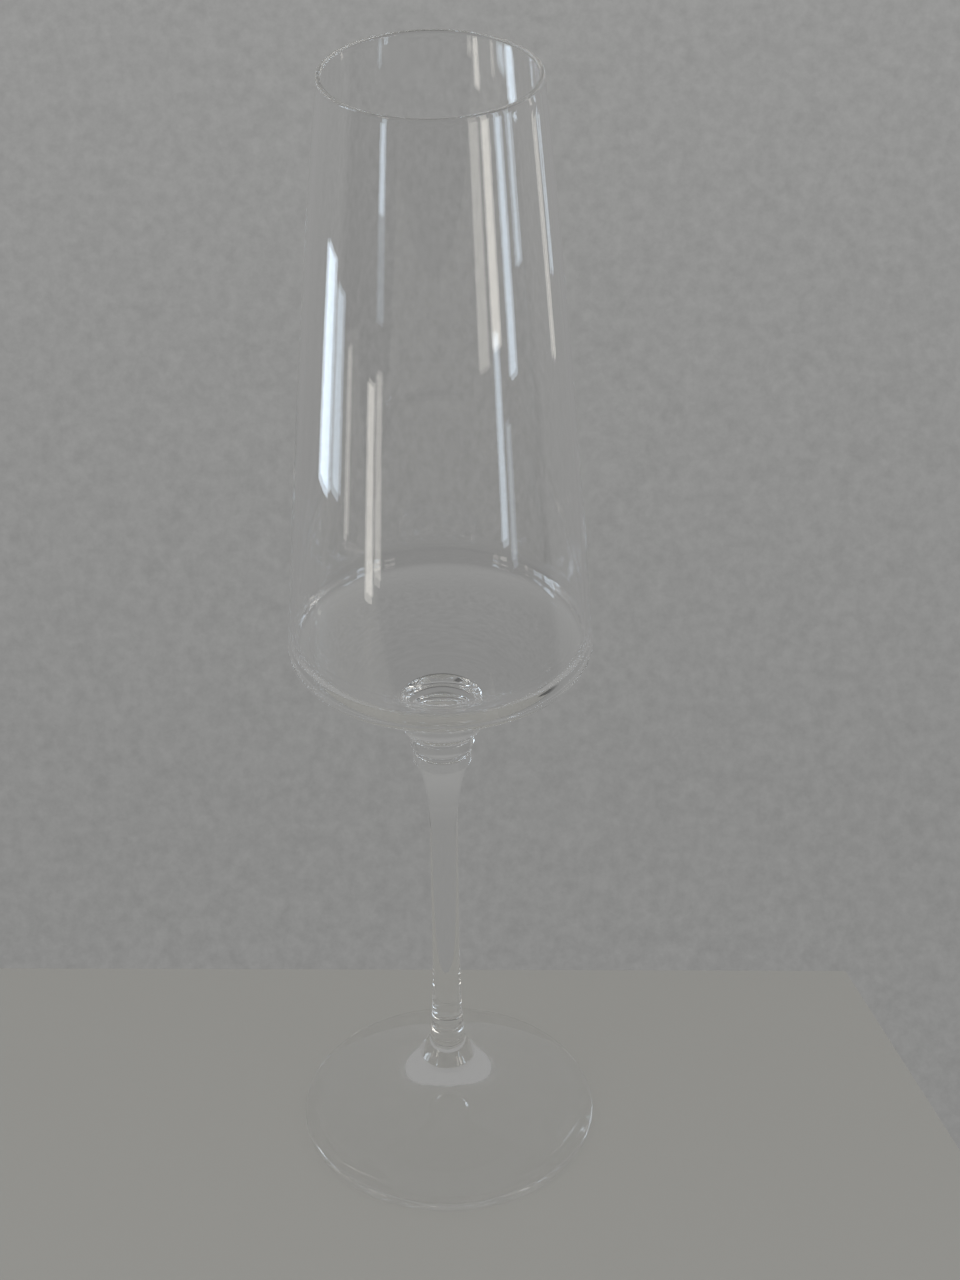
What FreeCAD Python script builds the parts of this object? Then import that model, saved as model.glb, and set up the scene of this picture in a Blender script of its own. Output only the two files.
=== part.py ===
"""Champagne flute of clear glass, in millimetres.

+Z is up along the axis of the glass, and the origin is the centre of the plane that the foot rests on.
Five pieces of glass are joined hot, so each meets the next face to face on a flat round seat:
foot, stem, lower collar, upper collar and bowl. Nothing on the glass moves.
"""
import FreeCAD, Part
import math
import os

# Foot
FOOT_RADIUS = 33.7
FOOT_EDGE_THICKNESS = 2.4
FOOT_RISE = 16.6                 # of the foot's cone-shaped top, above its edge
FOOT_TOP_WIDENING = 2.75         # how much wider than the neck the cone is where it ends
FOOT_TOP_ROUNDING = 1.0          # of the crease there
FOOT_REST_WIDTH = 3.0            # of the flat ring that the glass stands on
FOOT_HOLLOW_DEPTH = 6.2          # of the cone-shaped hollow inside that ring
FOOT_HOLLOW_TOP_RADIUS = 2.5
FOOT_HOLLOW_ROUNDING = 16.0
NECK_RISE = 4.2                  # from the crease up to where the neck would begin without its curve
NECK_LENGTH = 5.0                # from there up to the stem's seat
NECK_CURVE_RADIUS = 12.0

# Stem
STEM_LENGTH = 74.0
STEM_RADIUS = 3.1
STEM_FOOT_WIDENING = 0.55        # how much wider the stem is at its seat on the foot
STEM_FOOT_FLARE = 18.0           # length of stem that widens towards the foot
STEM_TOP_WIDENING = 2.55         # how much wider the stem is at its seat under the collars
STEM_TOP_FLARE = 17.0            # length of stem that widens towards the collars

# Collars
LOWER_COLLAR_STEP = 0.65         # how far the lower collar stands out from the stem's top
LOWER_COLLAR_HEIGHT = 3.2
GROOVE_DEPTH = 0.5               # of the waist between the collars, below the lower collar
GROOVE_HEIGHT = 1.2
GROOVE_ROUNDING = 0.3            # where the waist meets a collar
UPPER_COLLAR_STEP = 1.1          # how far the upper collar stands out from the waist
UPPER_COLLAR_HEIGHT = 3.6
COLLAR_ROUNDING = 1.1            # of each collar's outer edges

# Bowl. Its rises are heights above its seat on the upper collar.
BOWL_HEIGHT = 149.8
BOWL_SEAT_STEP = 0.7             # how far the bowl's seat is set in from the upper collar
BOSS_UNDERSIDE_RISE = 0.8        # of the boss: the thick round button under the middle of the bowl
BOSS_STEP = 2.3                  # how far the boss stands out from the seat
BOSS_ROUNDING = 1.0
BOSS_TOP_RISE = 7.8              # where the boss runs into the bowl's underside
BOSS_TOP_ROUNDING = 1.0
UNDERSIDE_BULGE = 1.1            # how far the underside bows out of a straight cone, half way up
SHOULDER_RISE = 22.2             # of the corner between underside and wall, before it is rounded
SHOULDER_RADIUS = 32.1
SHOULDER_ROUNDING = 2.2
WALL_BULGE = 0.55                # how far the wall bows out of a straight taper, half way up
RIM_RADIUS = 21.4                # outside, at the mouth
RIM_WALL = 1.1
WALL = 1.3                       # thickness near the shoulder
INNER_SHOULDER_ROUNDING = 12.0
UNDERSIDE_WALL = 1.6             # thickness over the underside
FLOOR_RISE = 9.4                 # of the middle of the floor inside
FLOOR_ROUNDING = 30.0

# Heights of the seats and radii at them, which follow from the sizes above
neck_radius = STEM_RADIUS + STEM_FOOT_WIDENING
stem_top_radius = STEM_RADIUS + STEM_TOP_WIDENING
lower_collar_radius = stem_top_radius + LOWER_COLLAR_STEP
groove_radius = lower_collar_radius - GROOVE_DEPTH
upper_collar_radius = groove_radius + UPPER_COLLAR_STEP
bowl_seat_radius = upper_collar_radius - BOWL_SEAT_STEP
boss_radius = bowl_seat_radius + BOSS_STEP
crease_height = FOOT_EDGE_THICKNESS + FOOT_RISE
stem_seat = crease_height + NECK_RISE + NECK_LENGTH
lower_collar_seat = stem_seat + STEM_LENGTH
upper_collar_seat = lower_collar_seat + LOWER_COLLAR_HEIGHT + GROOVE_HEIGHT
bowl_seat = upper_collar_seat + UPPER_COLLAR_HEIGHT
rim_height = bowl_seat + BOWL_HEIGHT

SIDE_SHARE = 0.98                # of a side, that the roundings at its two ends may use up together

FreeCAD.newDocument("champagne_flute")


def way(start, end):
    """The direction from one point of an outline to another."""
    length = math.dist(start, end)
    return [(end[i] - start[i]) / length for i in (0, 1)]


def half_angle(before, corner, after):
    """Half the angle that an outline encloses at a corner."""
    back = way(corner, before)
    on = way(corner, after)
    cosine = back[0] * on[0] + back[1] * on[1]
    return math.acos(max(-1.0, min(1.0, cosine))) / 2


def rounding_reaches(outline):
    """How far each corner's arc reaches along its two sides.

    Where two arcs don't fit on the side between them, the shorter keeps up to half of it.
    """
    reaches = [0.0] * len(outline)
    for i in range(1, len(outline) - 1):
        before, corner, after = (outline[k][:2] for k in (i - 1, i, i + 1))
        reaches[i] = outline[i][2] / math.tan(half_angle(before, corner, after))
    for i in range(len(outline) - 1):
        room = SIDE_SHARE * math.dist(outline[i][:2], outline[i + 1][:2])
        if reaches[i] + reaches[i + 1] > room:
            short, long = sorted((i, i + 1), key=lambda k: reaches[k])
            reaches[short] = min(reaches[short], room / 2)
            reaches[long] = room - reaches[short]
    return reaches


def point(pair):
    """A profile's point, radius first and height second, as a vector in the XZ plane."""
    return FreeCAD.Vector(pair[0], 0, pair[1])


def turned(outline):
    """The solid that an outline makes when it is turned about +Z.

    The outline runs round the section from the axis to the axis, as (radius, height, rounding) corners.
    """
    reaches = rounding_reaches(outline)
    edges = []
    start = outline[0][:2]
    for i in range(1, len(outline)):
        corner = outline[i][:2]
        if reaches[i] > 0:
            back = way(corner, outline[i - 1][:2])
            on = way(corner, outline[i + 1][:2])
            half = half_angle(outline[i - 1][:2], corner, outline[i + 1][:2])
            enter = [corner[k] + reaches[i] * back[k] for k in (0, 1)]
            leave = [corner[k] + reaches[i] * on[k] for k in (0, 1)]
            inward = math.hypot(back[0] + on[0], back[1] + on[1])
            sag = reaches[i] * math.tan(half) * (1 / math.sin(half) - 1)
            middle = [corner[k] + sag * (back[k] + on[k]) / inward for k in (0, 1)]
            edges.append(Part.makeLine(point(start), point(enter)))
            edges.append(Part.Arc(point(enter), point(middle), point(leave)).toShape())
            start = leave
        else:
            edges.append(Part.makeLine(point(start), point(corner)))
            start = corner
    edges.append(Part.makeLine(point(start), point(outline[0][:2])))
    solid = Part.Face(Part.Wire(edges)).revolve(FreeCAD.Vector(0, 0, 0), FreeCAD.Vector(0, 0, 1), 360)
    if solid.Volume < 0:
        solid.reverse()
    return solid


def arc_radius_for(chord, sagitta):
    """Radius of the arc over a chord that rises by the sagitta."""
    return (chord ** 2 / 4 + sagitta ** 2) / (2 * sagitta)


def foot():
    """Round foot: rounded edge, flat resting ring, cone-shaped top and hollow, and a curved neck."""
    edge_rounding = FOOT_EDGE_THICKNESS / 2
    ring_inside = FOOT_RADIUS - edge_rounding - FOOT_REST_WIDTH
    return turned([
        (0, FOOT_HOLLOW_DEPTH, 0),
        (FOOT_HOLLOW_TOP_RADIUS, FOOT_HOLLOW_DEPTH, FOOT_HOLLOW_ROUNDING),
        (ring_inside, 0, 0),
        (FOOT_RADIUS, 0, edge_rounding),
        (FOOT_RADIUS, FOOT_EDGE_THICKNESS, edge_rounding),
        (neck_radius + FOOT_TOP_WIDENING, crease_height, FOOT_TOP_ROUNDING),
        (neck_radius, crease_height + NECK_RISE, NECK_CURVE_RADIUS),
        (neck_radius, stem_seat, 0),
        (0, stem_seat, 0),
    ])


def stem():
    """Solid stem, parallel in the middle, that widens towards the foot and more so towards the collars."""
    middle = (stem_seat + STEM_FOOT_FLARE + lower_collar_seat - STEM_TOP_FLARE) / 2
    foot_flare_radius = arc_radius_for(2 * STEM_FOOT_FLARE, STEM_FOOT_WIDENING)
    top_flare_radius = arc_radius_for(2 * STEM_TOP_FLARE, STEM_TOP_WIDENING)
    return turned([
        (0, stem_seat, 0),
        (neck_radius, stem_seat, 0),
        (STEM_RADIUS, stem_seat + STEM_FOOT_FLARE / 2, foot_flare_radius),
        (STEM_RADIUS, middle, 0),
        (STEM_RADIUS, lower_collar_seat - STEM_TOP_FLARE / 2, top_flare_radius),
        (stem_top_radius, lower_collar_seat, 0),
        (0, lower_collar_seat, 0),
    ])


def lower_collar():
    """Rounded ring on the stem's flare, with the waist that carries the upper ring."""
    top = lower_collar_seat + LOWER_COLLAR_HEIGHT
    return turned([
        (0, lower_collar_seat, 0),
        (stem_top_radius, lower_collar_seat, 0),
        (lower_collar_radius, lower_collar_seat, COLLAR_ROUNDING),
        (lower_collar_radius, top, COLLAR_ROUNDING),
        (groove_radius, top, GROOVE_ROUNDING),
        (groove_radius, upper_collar_seat, 0),
        (0, upper_collar_seat, 0),
    ])


def upper_collar():
    """Rounded ring directly under the bowl."""
    return turned([
        (0, upper_collar_seat, 0),
        (groove_radius, upper_collar_seat, 0),
        (upper_collar_radius, upper_collar_seat, COLLAR_ROUNDING),
        (upper_collar_radius, bowl_seat, COLLAR_ROUNDING),
        (bowl_seat_radius, bowl_seat, 0),
        (0, bowl_seat, 0),
    ])


def bowl():
    """Tapered bowl: boss, full underside, crisp shoulder, long wall drawn in to a fire-polished rim."""
    boss_underside = bowl_seat + BOSS_UNDERSIDE_RISE
    boss_top = bowl_seat + BOSS_TOP_RISE
    shoulder = bowl_seat + SHOULDER_RISE
    floor = bowl_seat + FLOOR_RISE

    # The underside is an arc over the cone from the boss to the shoulder
    cone = math.atan2(shoulder - boss_top, SHOULDER_RADIUS - boss_radius)
    cone_length = math.hypot(shoulder - boss_top, SHOULDER_RADIUS - boss_radius)
    underside_curve = arc_radius_for(cone_length, UNDERSIDE_BULGE)
    belly_radius = (boss_radius + SHOULDER_RADIUS) / 2 + 2 * UNDERSIDE_BULGE * math.sin(cone)
    belly_height = (boss_top + shoulder) / 2 - 2 * UNDERSIDE_BULGE * math.cos(cone)

    # The inside follows the outside at the wall's thickness
    inner_belly_radius = belly_radius - UNDERSIDE_WALL * math.sin(cone)
    inner_belly_height = belly_height + UNDERSIDE_WALL * math.cos(cone)
    inner_shoulder_radius = SHOULDER_RADIUS - WALL
    upper_slope = (shoulder - belly_height) / (SHOULDER_RADIUS - belly_radius)
    lower_slope = (belly_height - boss_top) / (belly_radius - boss_radius)
    inner_shoulder = inner_belly_height + (inner_shoulder_radius - inner_belly_radius) * upper_slope
    floor_corner = inner_belly_radius - (inner_belly_height - floor) / lower_slope

    # The wall is an arc over the taper from the shoulder to the rim
    wall_length = math.hypot(SHOULDER_RADIUS - RIM_RADIUS, rim_height - shoulder)
    wall_curve = arc_radius_for(wall_length, WALL_BULGE)
    middle_radius = (SHOULDER_RADIUS + RIM_RADIUS) / 2 + 2 * WALL_BULGE
    middle_height = (shoulder + rim_height) / 2
    rim_rounding = 0.46 * RIM_WALL
    return turned([
        (0, bowl_seat, 0),
        (bowl_seat_radius, bowl_seat, 0),
        (bowl_seat_radius, boss_underside, 0),
        (boss_radius, boss_underside, BOSS_ROUNDING),
        (boss_radius, boss_top, BOSS_TOP_ROUNDING),
        (belly_radius, belly_height, underside_curve),
        (SHOULDER_RADIUS, shoulder, SHOULDER_ROUNDING),
        (middle_radius, middle_height, wall_curve),
        (RIM_RADIUS, rim_height, rim_rounding),
        (RIM_RADIUS - RIM_WALL, rim_height, rim_rounding),
        (middle_radius - (WALL + RIM_WALL) / 2, middle_height, wall_curve),
        (inner_shoulder_radius, inner_shoulder, INNER_SHOULDER_ROUNDING),
        (inner_belly_radius, inner_belly_height, underside_curve),
        (floor_corner, floor, FLOOR_ROUNDING),
        (0, floor, 0),
    ])


os.makedirs("parts", exist_ok=True)
for piece in (foot, stem, lower_collar, upper_collar, bowl):
    solid = piece()
    box = solid.optimalBoundingBox()
    print(f"{piece.__name__:13s} valid {solid.isValid()} volume {solid.Volume:9.1f} mm3 "
          f"radius {box.XMax:6.2f} height {box.ZMin:7.2f} to {box.ZMax:7.2f}")
    solid.exportStep(f"parts/{piece.__name__}.step")
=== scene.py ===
"""Looks of a champagne flute of clear glass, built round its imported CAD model. Metres, +Z up.

Each of the five glass pieces is turned about +Z from an outline, and stands for its CAD node.
"""

import math

import bpy
from mathutils import Matrix, Vector


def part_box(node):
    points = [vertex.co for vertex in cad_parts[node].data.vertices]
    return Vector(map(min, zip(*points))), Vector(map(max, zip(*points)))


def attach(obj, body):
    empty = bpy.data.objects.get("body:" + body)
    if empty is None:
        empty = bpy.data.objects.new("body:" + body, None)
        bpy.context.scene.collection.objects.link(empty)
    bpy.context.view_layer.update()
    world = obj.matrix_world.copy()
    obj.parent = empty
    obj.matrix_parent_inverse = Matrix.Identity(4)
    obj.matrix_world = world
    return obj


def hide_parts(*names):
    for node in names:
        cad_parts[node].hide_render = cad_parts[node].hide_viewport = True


MM = 0.001

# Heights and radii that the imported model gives
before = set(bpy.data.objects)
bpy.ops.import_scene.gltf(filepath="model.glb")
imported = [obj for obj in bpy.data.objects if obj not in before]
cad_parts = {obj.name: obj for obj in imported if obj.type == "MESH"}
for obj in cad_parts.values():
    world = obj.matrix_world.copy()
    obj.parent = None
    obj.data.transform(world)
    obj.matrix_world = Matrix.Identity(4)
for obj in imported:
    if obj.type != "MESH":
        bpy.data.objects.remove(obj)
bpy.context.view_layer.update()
RIM_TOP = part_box("bowl")[1].z
BOWL_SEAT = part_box("bowl")[0].z
COLLARS_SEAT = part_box("upper_collar")[0].z
STEM_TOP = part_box("stem")[1].z
STEM_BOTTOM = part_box("stem")[0].z
FOOT_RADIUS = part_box("foot")[1].x
UPPER_COLLAR_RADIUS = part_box("upper_collar")[1].x
LOWER_COLLAR_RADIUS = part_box("lower_collar")[1].x
STEM_TOP_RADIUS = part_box("stem")[1].x

# Foot
FOOT_EDGE_THICKNESS = 2.4 * MM
FOOT_RISE = 16.6 * MM
FOOT_TOP_WIDENING = 2.75 * MM
FOOT_TOP_ROUNDING = 1.0 * MM
FOOT_REST_WIDTH = 3.0 * MM
FOOT_HOLLOW_DEPTH = 6.2 * MM
FOOT_HOLLOW_TOP_RADIUS = 2.5 * MM
FOOT_HOLLOW_ROUNDING = 16.0 * MM
NECK_RISE = 4.2 * MM
NECK_CURVE_RADIUS = 12.0 * MM

# Stem
STEM_RADIUS = 3.1 * MM
STEM_FOOT_WIDENING = 0.55 * MM
STEM_FOOT_FLARE = 18.0 * MM
STEM_TOP_FLARE = 17.0 * MM
NECK_RADIUS = STEM_RADIUS + STEM_FOOT_WIDENING

# Collars
LOWER_COLLAR_HEIGHT = 3.2 * MM
COLLAR_ROUNDING = 1.1 * MM
GROOVE_RADIUS = LOWER_COLLAR_RADIUS - 0.5 * MM
GROOVE_ROUNDING = 0.3 * MM

# Bowl
BOWL_SEAT_RADIUS = UPPER_COLLAR_RADIUS - 0.7 * MM
BOSS_RADIUS = BOWL_SEAT_RADIUS + 2.3 * MM
BOSS_UNDERSIDE = BOWL_SEAT + 0.8 * MM
BOSS_ROUNDING = 1.0 * MM
BOSS_TOP = BOWL_SEAT + 7.8 * MM
BOSS_TOP_ROUNDING = 1.0 * MM
UNDERSIDE_BULGE = 1.1 * MM
SHOULDER = BOWL_SEAT + 22.2 * MM
SHOULDER_RADIUS = 32.1 * MM
SHOULDER_ROUNDING = 2.2 * MM
WALL_BULGE = 0.55 * MM
RIM_RADIUS = 21.4 * MM
RIM_WALL = 1.1 * MM
RIM_ROUNDING = 0.46 * RIM_WALL
WALL = 1.3 * MM
INNER_SHOULDER_ROUNDING = 12.0 * MM
UNDERSIDE_WALL = 1.6 * MM
FLOOR = BOWL_SEAT + 9.4 * MM
FLOOR_ROUNDING = 30.0 * MM

# Meshes. Two arcs that meet on a side take up at most SIDE_SHARE of it.
SEGMENTS = 192
ARC_STEP = math.radians(5)
LONGEST_STEP = 2.0 * MM
SIDE_SHARE = 0.98
AXIS_TOLERANCE = 1e-7
SEAT_TOLERANCE = 1e-6

# Light runs along inside the wall to the rim, so it needs many bounces
BOUNCES = 400
SHADOW_BOUNCES = 16

# Camera
CAMERA_PLACE = Vector((0, -0.50949, 0.47489))
CAMERA_PITCH = math.radians(33.862)
CAMERA_YAW = math.radians(0.9326)
CAMERA_ROLL = math.radians(-0.5258)
CAMERA_LENS = 82.25
CAMERA_SENSOR = 36.0
CAMERA_NEAREST = 10.0 * MM

# Table top
TABLE_BACK = 50.8 * MM
TABLE_BACK_TURN = math.radians(-2.0)
TABLE_FRONT = -250.0 * MM
TABLE_LEFT = -600.0 * MM
TABLE_RIGHT = 99.3 * MM
TABLE_FRONT_RIGHT = 184.7 * MM
TABLE_THICKNESS = 18.0 * MM
TABLE_COLOUR = (0.243, 0.24, 0.225, 1)
TABLE_ROUGHNESS = 0.6

# Glass. Ripples and smears are given per metre, and smears show where their noise is in the range.
GLASS_IOR = 1.5
GLASS_SHADE = (0.97, 0.97, 0.97, 1)
RIPPLES = 500
RIPPLE_DEPTH = 0.0015 * MM
SMEARS = 45
SMEAR_RANGE = (0.55, 0.8)
SMEAR_ROUGHNESS = 0.06

# The world's even light
WORLD_LIGHT = 0.6

# Wall of the room, with painted shade. The list below gives its grey from straight down, 0, to straight up,
# 1, painted darker towards the bottom by the table and lighter towards the top.
WALL_SHADED_GREYS = ((0.0, 0.255), (0.2, 0.26), (0.34, 0.315), (0.48, 0.315), (0.56, 0.335), (1.0, 0.335))
WALL_BLUE = 0.985
# Plaster relief painted into the wall's brightness as light and shade, from noise
PLASTER_SCALE = 230
PLASTER_ROUGHNESS = 0.65
PLASTER_RANGE = (0.3, 0.7)
PLASTER_PAINTED_SHADING = (0.92, 1.08)

# Painted reflection: in the glass's reflections the wall is darker towards the front of the room, below a
# slope
PAINTED_REFLECTION_EDGE = (-0.45, -0.3)
PAINTED_REFLECTION_BRIGHTNESS = (0.35, 1)

# Soft lamps: place, size and power. The glass doesn't show them.
LAMP_AIM = (0, 0, 0.15)
LAMPS = (
    ("window", (-1.0, -0.9, 0.9), (0.7, 1.0), 18),
    ("fill", (1.0, -0.7, 0.8), (0.5, 0.8), 8),
)

# Cards of light round the glass, which its wall shows as streaks. The camera sees them only in or through it.
CARD_DISTANCE = 350.0 * MM
DAYLIGHT = (0.72, 0.86, 1.0)
LAMPLIGHT = (1.0, 0.96, 0.88)
CARDS = (
    # azimuth from the front and width, both in degrees, lowest and highest point in mm, colour, strength
    ("left_window", -99, 12, 24, 112, DAYLIGHT, 5.5),
    ("left_window_side", -86, 9, 30, 106, DAYLIGHT, 3.0),
    ("left_window_frame", -74, 3, 20, 92, LAMPLIGHT, 2.0),
    ("cream_blind", -53, 6, 5, 88, LAMPLIGHT, 3.4),
    ("cream_blind_side", -46, 5, 14, 94, LAMPLIGHT, 2.0),
    ("left_upper_pane", -46, 5, 150, 184, DAYLIGHT, 4.5),
    ("left_upper_glow", -46, 6, 112, 150, DAYLIGHT, 1.2),
    ("right_pane", 40, 9, 96, 186, LAMPLIGHT, 1.8),
    ("right_upper_blind", 52, 8, 100, 184, LAMPLIGHT, 4.0),
    ("right_upper_window", 66, 7, 84, 178, DAYLIGHT, 4.5),
    ("right_upper_side", 79, 6, 118, 174, DAYLIGHT, 3.0),
    ("right_window", 51, 5, 27, 106, DAYLIGHT, 3.6),
    ("right_window_side", 58, 4, 16, 70, DAYLIGHT, 1.6),
    ("right_edge", 116, 4, 60, 145, LAMPLIGHT, 1.6),
    ("right_edge_side", 125, 3, 84, 140, DAYLIGHT, 1.8),
)


def way(start, end):
    """The direction from one point of an outline to another."""
    length = math.dist(start, end)
    return [(end[i] - start[i]) / length for i in (0, 1)]


def half_angle(before, corner, after):
    """Half the angle that an outline encloses at a corner."""
    back = way(corner, before)
    on = way(corner, after)
    return math.acos(max(-1.0, min(1.0, back[0] * on[0] + back[1] * on[1]))) / 2


def rounding_reaches(outline):
    """How far each corner's arc reaches along its two sides. A short arc has the first claim on a side."""
    reaches = [0.0] * len(outline)
    for i in range(1, len(outline) - 1):
        before, corner, after = (outline[k][:2] for k in (i - 1, i, i + 1))
        reaches[i] = outline[i][2] / math.tan(half_angle(before, corner, after))
    for i in range(len(outline) - 1):
        room = SIDE_SHARE * math.dist(outline[i][:2], outline[i + 1][:2])
        if reaches[i] + reaches[i + 1] > room:
            short, long = sorted((i, i + 1), key=lambda k: reaches[k])
            reaches[short] = min(reaches[short], room / 2)
            reaches[long] = room - reaches[short]
    return reaches


def arc_points(before, corner, after, reach):
    """Points on the arc that rounds a corner, from where it leaves one side to where it meets the next."""
    back = way(corner, before)
    on = way(corner, after)
    half = half_angle(before, corner, after)
    inward = math.hypot(back[0] + on[0], back[1] + on[1])
    to_centre = reach / math.cos(half)
    centre = [corner[k] + to_centre * (back[k] + on[k]) / inward for k in (0, 1)]
    radius = reach * math.tan(half)
    start = math.atan2(corner[1] + reach * back[1] - centre[1], corner[0] + reach * back[0] - centre[0])
    end = math.atan2(corner[1] + reach * on[1] - centre[1], corner[0] + reach * on[0] - centre[0])
    turn = (end - start + math.pi) % (2 * math.pi) - math.pi
    steps = max(2, math.ceil(abs(turn) / ARC_STEP), math.ceil(abs(turn) * radius / LONGEST_STEP))
    return [
        (centre[0] + radius * math.cos(start + turn * i / steps),
         centre[1] + radius * math.sin(start + turn * i / steps))
        for i in range(steps + 1)
    ]


def profile(outline):
    """The outline as a chain of points close together, with its corners rounded."""
    reaches = rounding_reaches(outline)
    chain = [outline[0][:2]]
    for i in range(1, len(outline)):
        if reaches[i] > 0:
            after = outline[i + 1][:2]
            stops = arc_points(outline[i - 1][:2], outline[i][:2], after, reaches[i])
        else:
            stops = [outline[i][:2]]
        steps = max(1, math.ceil(math.dist(chain[-1], stops[0]) / LONGEST_STEP))
        last = chain[-1]
        for k in range(1, steps):
            chain.append(tuple(last[j] + (stops[0][j] - last[j]) * k / steps for j in (0, 1)))
        chain += stops
    return chain


def lies_on_seat(start, end, seat, seat_radius):
    """Whether a stretch of an outline is part of the flat face at a seat's height, inside its radius."""
    level = all(abs(height - seat) < SEAT_TOLERANCE for _, height in (start, end))
    return level and max(start[0], end[0]) < seat_radius + SEAT_TOLERANCE


def turned(name, outline, seats):
    """A closed mesh turned about +Z from an outline that runs from the axis out, up and back to the axis.

    Flat faces at a seat's height, inside its radius, lie against the next piece. They get the second slot.
    """
    chain = profile(outline)
    rings = []
    vertices = []
    for radius, height in chain:
        if radius < AXIS_TOLERANCE:
            rings.append([len(vertices)] * SEGMENTS)
            vertices.append((0, 0, height))
        else:
            rings.append(range(len(vertices), len(vertices) + SEGMENTS))
            for s in range(SEGMENTS):
                angle = 2 * math.pi * s / SEGMENTS
                vertices.append((radius * math.cos(angle), radius * math.sin(angle), height))
    faces = []
    seams = []
    for i in range(len(chain) - 1):
        seam = any(lies_on_seat(chain[i], chain[i + 1], *seat) for seat in seats)
        for s in range(SEGMENTS):
            n = (s + 1) % SEGMENTS
            corners = [rings[i][s], rings[i][n], rings[i + 1][n], rings[i + 1][s]]
            faces.append(list(dict.fromkeys(corners)))
            seams.append(seam)
    mesh = bpy.data.meshes.new(name)
    mesh.from_pydata(vertices, [], faces)
    mesh.polygons.foreach_set("material_index", [int(seam) for seam in seams])
    mesh.polygons.foreach_set("use_smooth", [not seam for seam in seams])
    mesh.update()
    piece = bpy.data.objects.new(name, mesh)
    bpy.context.scene.collection.objects.link(piece)
    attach(piece, "root")
    return piece


def arc_radius_for(chord, sagitta):
    """Radius of the arc over a chord that rises by the sagitta."""
    return (chord ** 2 / 4 + sagitta ** 2) / (2 * sagitta)


def foot_outline():
    edge_rounding = FOOT_EDGE_THICKNESS / 2
    crease = FOOT_EDGE_THICKNESS + FOOT_RISE
    return [
        (0, FOOT_HOLLOW_DEPTH, 0),
        (FOOT_HOLLOW_TOP_RADIUS, FOOT_HOLLOW_DEPTH, FOOT_HOLLOW_ROUNDING),
        (FOOT_RADIUS - edge_rounding - FOOT_REST_WIDTH, 0, 0),
        (FOOT_RADIUS, 0, edge_rounding),
        (FOOT_RADIUS, FOOT_EDGE_THICKNESS, edge_rounding),
        (NECK_RADIUS + FOOT_TOP_WIDENING, crease, FOOT_TOP_ROUNDING),
        (NECK_RADIUS, crease + NECK_RISE, NECK_CURVE_RADIUS),
        (NECK_RADIUS, STEM_BOTTOM, 0),
        (0, STEM_BOTTOM, 0),
    ]


def stem_outline():
    return [
        (0, STEM_BOTTOM, 0),
        (NECK_RADIUS, STEM_BOTTOM, 0),
        (STEM_RADIUS, STEM_BOTTOM + STEM_FOOT_FLARE / 2,
         arc_radius_for(2 * STEM_FOOT_FLARE, NECK_RADIUS - STEM_RADIUS)),
        (STEM_RADIUS, (STEM_BOTTOM + STEM_FOOT_FLARE + STEM_TOP - STEM_TOP_FLARE) / 2, 0),
        (STEM_RADIUS, STEM_TOP - STEM_TOP_FLARE / 2,
         arc_radius_for(2 * STEM_TOP_FLARE, STEM_TOP_RADIUS - STEM_RADIUS)),
        (STEM_TOP_RADIUS, STEM_TOP, 0),
        (0, STEM_TOP, 0),
    ]


def lower_collar_outline():
    top = STEM_TOP + LOWER_COLLAR_HEIGHT
    return [
        (0, STEM_TOP, 0),
        (STEM_TOP_RADIUS, STEM_TOP, 0),
        (LOWER_COLLAR_RADIUS, STEM_TOP, COLLAR_ROUNDING),
        (LOWER_COLLAR_RADIUS, top, COLLAR_ROUNDING),
        (GROOVE_RADIUS, top, GROOVE_ROUNDING),
        (GROOVE_RADIUS, COLLARS_SEAT, 0),
        (0, COLLARS_SEAT, 0),
    ]


def upper_collar_outline():
    return [
        (0, COLLARS_SEAT, 0),
        (GROOVE_RADIUS, COLLARS_SEAT, 0),
        (UPPER_COLLAR_RADIUS, COLLARS_SEAT, COLLAR_ROUNDING),
        (UPPER_COLLAR_RADIUS, BOWL_SEAT, COLLAR_ROUNDING),
        (BOWL_SEAT_RADIUS, BOWL_SEAT, 0),
        (0, BOWL_SEAT, 0),
    ]


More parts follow.
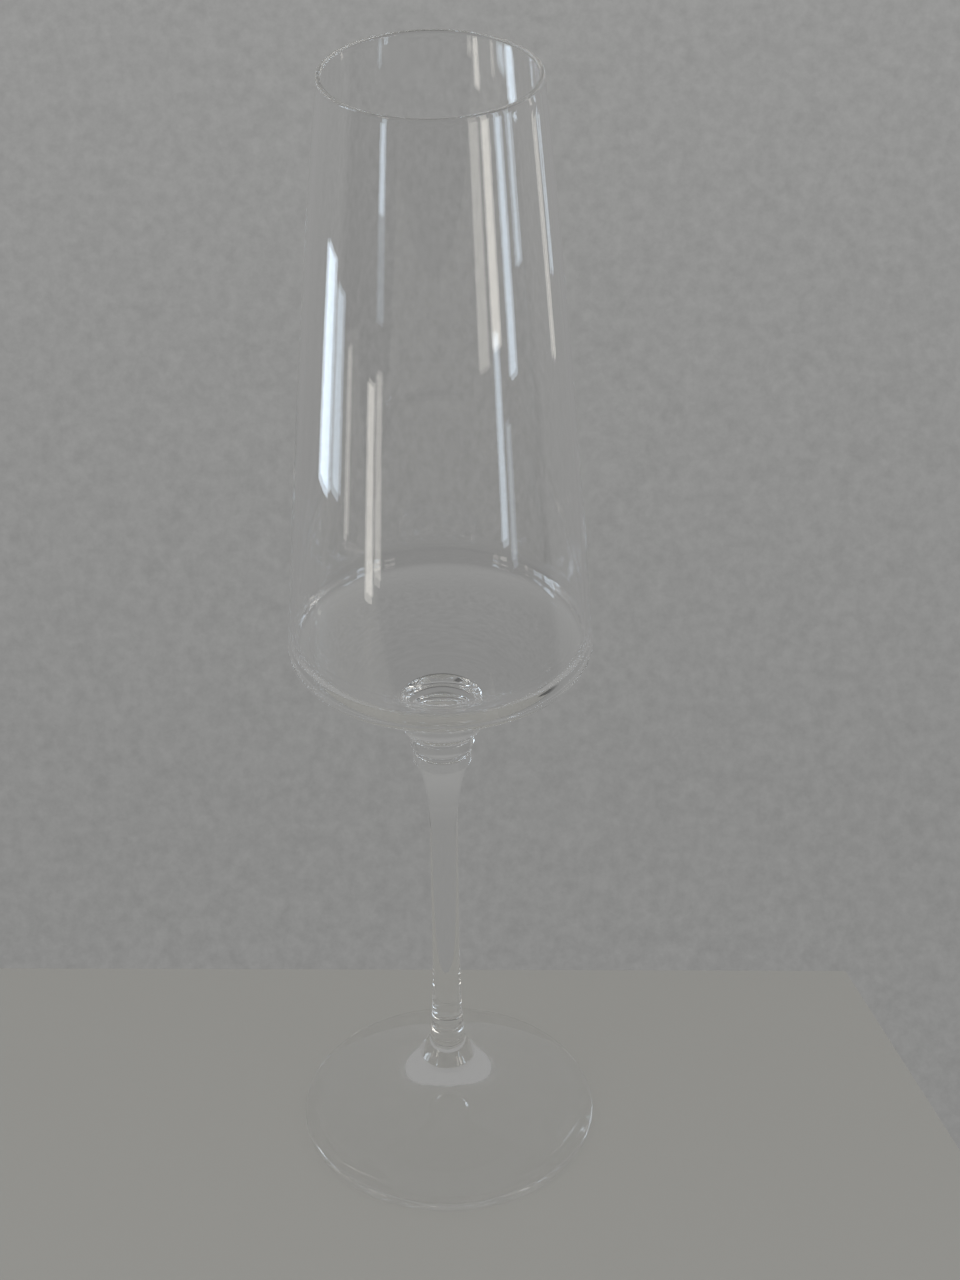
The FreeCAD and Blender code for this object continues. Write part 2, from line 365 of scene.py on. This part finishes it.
def bowl_outline():
    cone = math.atan2(SHOULDER - BOSS_TOP, SHOULDER_RADIUS - BOSS_RADIUS)
    cone_length = math.hypot(SHOULDER - BOSS_TOP, SHOULDER_RADIUS - BOSS_RADIUS)
    underside_curve = arc_radius_for(cone_length, UNDERSIDE_BULGE)
    belly_radius = (BOSS_RADIUS + SHOULDER_RADIUS) / 2 + 2 * UNDERSIDE_BULGE * math.sin(cone)
    belly = (BOSS_TOP + SHOULDER) / 2 - 2 * UNDERSIDE_BULGE * math.cos(cone)
    inner_belly_radius = belly_radius - UNDERSIDE_WALL * math.sin(cone)
    inner_belly = belly + UNDERSIDE_WALL * math.cos(cone)
    inner_shoulder_radius = SHOULDER_RADIUS - WALL
    upper_slope = (SHOULDER - belly) / (SHOULDER_RADIUS - belly_radius)
    lower_slope = (belly - BOSS_TOP) / (belly_radius - BOSS_RADIUS)
    inner_shoulder = inner_belly + (inner_shoulder_radius - inner_belly_radius) * upper_slope
    floor_corner = inner_belly_radius - (inner_belly - FLOOR) / lower_slope
    wall_length = math.hypot(SHOULDER_RADIUS - RIM_RADIUS, RIM_TOP - SHOULDER)
    wall_curve = arc_radius_for(wall_length, WALL_BULGE)
    middle_radius = (SHOULDER_RADIUS + RIM_RADIUS) / 2 + 2 * WALL_BULGE
    middle = (SHOULDER + RIM_TOP) / 2
    return [
        (0, BOWL_SEAT, 0),
        (BOWL_SEAT_RADIUS, BOWL_SEAT, 0),
        (BOWL_SEAT_RADIUS, BOSS_UNDERSIDE, 0),
        (BOSS_RADIUS, BOSS_UNDERSIDE, BOSS_ROUNDING),
        (BOSS_RADIUS, BOSS_TOP, BOSS_TOP_ROUNDING),
        (belly_radius, belly, underside_curve),
        (SHOULDER_RADIUS, SHOULDER, SHOULDER_ROUNDING),
        (middle_radius, middle, wall_curve),
        (RIM_RADIUS, RIM_TOP, RIM_ROUNDING),
        (RIM_RADIUS - RIM_WALL, RIM_TOP, RIM_ROUNDING),
        (middle_radius - (WALL + RIM_WALL) / 2, middle, wall_curve),
        (inner_shoulder_radius, inner_shoulder, INNER_SHOULDER_ROUNDING),
        (inner_belly_radius, inner_belly, underside_curve),
        (floor_corner, FLOOR, FLOOR_ROUNDING),
        (0, FLOOR, 0),
    ]


def new_material(name):
    material = bpy.data.materials.new(name)
    material.use_nodes = True
    material.node_tree.nodes.clear()
    return material, material.node_tree.nodes, material.node_tree.links


def noise(nodes, links, vector, scale, detail, roughness=0.5):
    texture = nodes.new("ShaderNodeTexNoise")
    texture.inputs["Scale"].default_value = scale
    texture.inputs["Detail"].default_value = detail
    texture.inputs["Roughness"].default_value = roughness
    links.new(vector, texture.inputs["Vector"])
    return texture.outputs["Fac"]


def mapped(nodes, links, value, source, target):
    """The value with its source range, lowest and highest, brought to the target range."""
    node = nodes.new("ShaderNodeMapRange")
    node.inputs["From Min"].default_value, node.inputs["From Max"].default_value = source
    node.inputs["To Min"].default_value, node.inputs["To Max"].default_value = target
    links.new(value, node.inputs["Value"])
    return node.outputs["Result"]


def joined(nodes, links, operation, first, second):
    """The sum, product or larger one of two values."""
    node = nodes.new("ShaderNodeMath")
    node.operation = operation
    links.new(first, node.inputs[0])
    links.new(second, node.inputs[1])
    return node.outputs["Value"]


def shown(nodes, links, factor, first, second, out):
    """Shows the second shader where the factor is 1, and the first where it is 0."""
    mix = nodes.new("ShaderNodeMixShader")
    links.new(factor, mix.inputs["Fac"])
    links.new(first, mix.inputs[1])
    links.new(second, mix.inputs[2])
    links.new(mix.outputs["Shader"], out.inputs["Surface"])


def bump(nodes, links, height, depth, below=None):
    relief = nodes.new("ShaderNodeBump")
    relief.inputs["Distance"].default_value = depth
    links.new(height, relief.inputs["Height"])
    if below:
        links.new(below, relief.inputs["Normal"])
    return relief.outputs["Normal"]


def clear_glass(name, stretch, waves, wave_depth):
    """Clear glass that bends light, and lets the light of the lamps and the world through to the table.

    Its surface has the slow waves of hot-worked glass, drawn out along the axis by the stretch, fine ripples
    and faint smears where it has been wiped.
    """
    material, nodes, links = new_material(name)
    out = nodes.new("ShaderNodeOutputMaterial")
    glass = nodes.new("ShaderNodeBsdfPrincipled")
    glass.inputs["Base Color"].default_value = (1, 1, 1, 1)
    glass.inputs["Transmission Weight"].default_value = 1
    glass.inputs["IOR"].default_value = GLASS_IOR
    place = nodes.new("ShaderNodeTexCoord")
    drawn = nodes.new("ShaderNodeMapping")
    drawn.inputs["Scale"].default_value = (1, 1, 1 / stretch)
    links.new(place.outputs["Object"], drawn.inputs["Vector"])
    slow = noise(nodes, links, drawn.outputs["Vector"], waves, 1)
    ripples = noise(nodes, links, drawn.outputs["Vector"], RIPPLES, 2)
    normal = bump(nodes, links, slow, wave_depth)
    normal = bump(nodes, links, ripples, RIPPLE_DEPTH, normal)
    links.new(normal, glass.inputs["Normal"])
    smears = noise(nodes, links, place.outputs["Object"], SMEARS, 5)
    smeared = mapped(nodes, links, smears, SMEAR_RANGE, (0, SMEAR_ROUGHNESS))
    links.new(smeared, glass.inputs["Roughness"])
    shade = nodes.new("ShaderNodeBsdfTransparent")
    shade.inputs["Color"].default_value = GLASS_SHADE
    path = nodes.new("ShaderNodeLightPath").outputs
    lighting = joined(nodes, links, "MAXIMUM", path["Is Shadow Ray"], path["Is Diffuse Ray"])
    shown(nodes, links, lighting, glass.outputs["BSDF"], shade.outputs["BSDF"], out)
    return material


def seam_material():
    """The fused face between two pieces of glass, which nothing shows of."""
    material, nodes, links = new_material("fused_seam")
    out = nodes.new("ShaderNodeOutputMaterial")
    clear = nodes.new("ShaderNodeBsdfTransparent")
    links.new(clear.outputs["BSDF"], out.inputs["Surface"])
    return material


def table_top():
    mesh = bpy.data.meshes.new("table_top")
    rise = math.tan(TABLE_BACK_TURN)
    corners = [(TABLE_RIGHT, TABLE_BACK + TABLE_RIGHT * rise), (TABLE_LEFT, TABLE_BACK + TABLE_LEFT * rise)]
    corners += [(TABLE_LEFT, TABLE_FRONT), (TABLE_FRONT_RIGHT, TABLE_FRONT)]
    under = [(x, y, -TABLE_THICKNESS) for x, y in corners]
    sides = [(i, i + 4, (i + 1) % 4 + 4, (i + 1) % 4) for i in range(4)]
    mesh.from_pydata([(x, y, 0) for x, y in corners] + under, [], [(0, 1, 2, 3), (7, 6, 5, 4)] + sides)
    mesh.update()
    table = bpy.data.objects.new("table_top", mesh)
    bpy.context.scene.collection.objects.link(table)
    material, nodes, links = new_material("table_top")
    out = nodes.new("ShaderNodeOutputMaterial")
    paint = nodes.new("ShaderNodeBsdfPrincipled")
    paint.inputs["Base Color"].default_value = TABLE_COLOUR
    paint.inputs["Roughness"].default_value = TABLE_ROUGHNESS
    links.new(paint.outputs["BSDF"], out.inputs["Surface"])
    mesh.materials.append(material)


def shaded_wall_grey(nodes, links, height):
    """The grey of the wall at a height from -1, straight down, to 1, straight up, with painted shade: darker
    towards the bottom and lighter towards the top.
    """
    ramp = nodes.new("ShaderNodeValToRGB")
    elements = ramp.color_ramp.elements
    while len(elements) < len(WALL_SHADED_GREYS):
        elements.new(0.5)
    for element, (at, grey) in zip(elements, WALL_SHADED_GREYS):
        element.position = at
        element.color = (grey, grey, WALL_BLUE * grey, 1)
    links.new(mapped(nodes, links, height, (-1, 1), (0, 1)), ramp.inputs["Fac"])
    return ramp.outputs["Color"]


def painted_reflection_brightness(nodes, links, direction, mirrored):
    """Painted reflection: less than 1 towards the front of the room, for the rays that the glass sends there.
    """
    beyond = joined(nodes, links, "ADD", direction["Y"], direction["Z"])
    room = nodes.new("ShaderNodeMix")
    room.inputs["A"].default_value = 1
    links.new(mirrored, room.inputs["Factor"])
    links.new(mapped(nodes, links, beyond, PAINTED_REFLECTION_EDGE, PAINTED_REFLECTION_BRIGHTNESS), room.inputs["B"])
    return room.outputs["Result"]


def surroundings():
    """World: soft even light, and a grey plaster wall where the camera, reflections or refractions see it.
    The wall carries painted shade, darker towards the bottom and lighter towards the top, painted shading of
    plaster relief, and a painted reflection that darkens it in gloss towards the front.
    """
    world = bpy.data.worlds.new("studio")
    bpy.context.scene.world = world
    world.use_nodes = True
    nodes, links = world.node_tree.nodes, world.node_tree.links
    nodes.clear()
    out = nodes.new("ShaderNodeOutputWorld")
    light = nodes.new("ShaderNodeBackground")
    light.inputs["Color"].default_value = (1, 1, 1, 1)
    light.inputs["Strength"].default_value = WORLD_LIGHT
    place = nodes.new("ShaderNodeTexCoord")
    direction = nodes.new("ShaderNodeSeparateXYZ")
    links.new(place.outputs["Generated"], direction.inputs["Vector"])
    path = nodes.new("ShaderNodeLightPath").outputs
    # Painted shading of the plaster's relief: noise that brightens and darkens the wall
    plaster = noise(nodes, links, place.outputs["Generated"], PLASTER_SCALE, 5, PLASTER_ROUGHNESS)
    relief = mapped(nodes, links, plaster, PLASTER_RANGE, PLASTER_PAINTED_SHADING)
    # Painted reflection: glossy rays see the wall darker towards the front
    room = painted_reflection_brightness(nodes, links, direction.outputs, path["Is Glossy Ray"])
    wall = nodes.new("ShaderNodeBackground")
    # The wall's grey, with painted shade: darker towards the bottom and lighter towards the top
    links.new(shaded_wall_grey(nodes, links, direction.outputs["Z"]), wall.inputs["Color"])
    links.new(joined(nodes, links, "MULTIPLY", relief, room), wall.inputs["Strength"])
    seen = joined(nodes, links, "MAXIMUM", path["Is Camera Ray"], path["Is Glossy Ray"])
    seen_or_through = joined(nodes, links, "MAXIMUM", seen, path["Is Transmission Ray"])
    shown(nodes, links, seen_or_through, light.outputs["Background"], wall.outputs["Background"], out)


def area_lamp(name, place, towards, size, power):
    """A lamp with a flat rectangular face that the camera doesn't see."""
    data = bpy.data.lights.new(name, "AREA")
    data.shape = "RECTANGLE"
    data.size, data.size_y = size
    data.energy = power
    lamp = bpy.data.objects.new(name, data)
    bpy.context.scene.collection.objects.link(lamp)
    lamp.location = place
    lamp.rotation_euler = towards.to_track_quat("-Z", "Y").to_euler()
    lamp.visible_camera = False
    return lamp


def soft_lamp(name, place, size, power):
    """A lamp that lights the table, and that the glass doesn't show."""
    lamp = area_lamp(name, place, Vector(LAMP_AIM) - Vector(place), size, power)
    lamp.visible_glossy = False
    lamp.visible_transmission = False


def card(name, azimuth, width, low, high, colour, strength):
    """A lit card that stands round the glass and faces it. It shows in gloss and in or through glass only."""
    across = Vector((math.sin(math.radians(azimuth)), -math.cos(math.radians(azimuth)), 0))
    place = across * CARD_DISTANCE + Vector((0, 0, (low + high) / 2 * MM))
    size = (math.radians(width) * CARD_DISTANCE, (high - low) * MM)
    lamp = area_lamp(name, place, -across, size, strength * math.pi * size[0] * size[1])
    lamp.data.color = colour
    lamp.visible_diffuse = False


def camera():
    data = bpy.data.cameras.new("camera")
    eye = bpy.data.objects.new("camera", data)
    bpy.context.scene.collection.objects.link(eye)
    data.lens = CAMERA_LENS
    data.sensor_width = CAMERA_SENSOR
    data.clip_start = CAMERA_NEAREST
    ahead = Vector((math.sin(CAMERA_YAW) * math.cos(CAMERA_PITCH),
                    math.cos(CAMERA_YAW) * math.cos(CAMERA_PITCH), -math.sin(CAMERA_PITCH)))
    level = ahead.cross(Vector((0, 0, 1))).normalized()
    upright = level.cross(ahead)
    right = level * math.cos(CAMERA_ROLL) + upright * math.sin(CAMERA_ROLL)
    up = upright * math.cos(CAMERA_ROLL) - level * math.sin(CAMERA_ROLL)
    turn = Matrix((right, up, -ahead)).transposed()
    eye.matrix_world = Matrix.Translation(CAMERA_PLACE) @ turn.to_4x4()
    bpy.context.scene.camera = eye


seam = seam_material()
pieces = (
    # node, outline, slot, seats, then the glass's stretch along the axis, waves per metre and their depth
    ("bowl", bowl_outline, "bowl_glass", ((BOWL_SEAT, BOWL_SEAT_RADIUS),), 6, 70, 0.030 * MM),
    ("upper_collar", upper_collar_outline, "stem_glass",
     ((BOWL_SEAT, BOWL_SEAT_RADIUS), (COLLARS_SEAT, GROOVE_RADIUS)), 1, 150, 0.010 * MM),
    ("lower_collar", lower_collar_outline, "stem_glass",
     ((COLLARS_SEAT, GROOVE_RADIUS), (STEM_TOP, STEM_TOP_RADIUS)), 1, 150, 0.010 * MM),
    ("stem", stem_outline, "stem_glass",
     ((STEM_TOP, STEM_TOP_RADIUS), (STEM_BOTTOM, NECK_RADIUS)), 8, 150, 0.010 * MM),
    ("foot", foot_outline, "foot_glass", ((STEM_BOTTOM, NECK_RADIUS),), 1, 60, 0.030 * MM),
)
for node, outline, slot, seats, stretch, waves, wave_depth in pieces:
    piece = turned(f"{node}_glass", outline(), seats)
    piece.data.materials.append(clear_glass(f"{node}_glass", stretch, waves, wave_depth))
    piece.data.materials.append(seam)
    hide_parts(node)

table_top()
surroundings()
for values in LAMPS:
    soft_lamp(*values)
for values in CARDS:
    card(*values)
camera()
bpy.context.scene.view_settings.view_transform = "Standard"
bpy.context.scene.cycles.max_bounces = BOUNCES
bpy.context.scene.cycles.transmission_bounces = BOUNCES
bpy.context.scene.cycles.glossy_bounces = BOUNCES
bpy.context.scene.cycles.transparent_max_bounces = SHADOW_BOUNCES
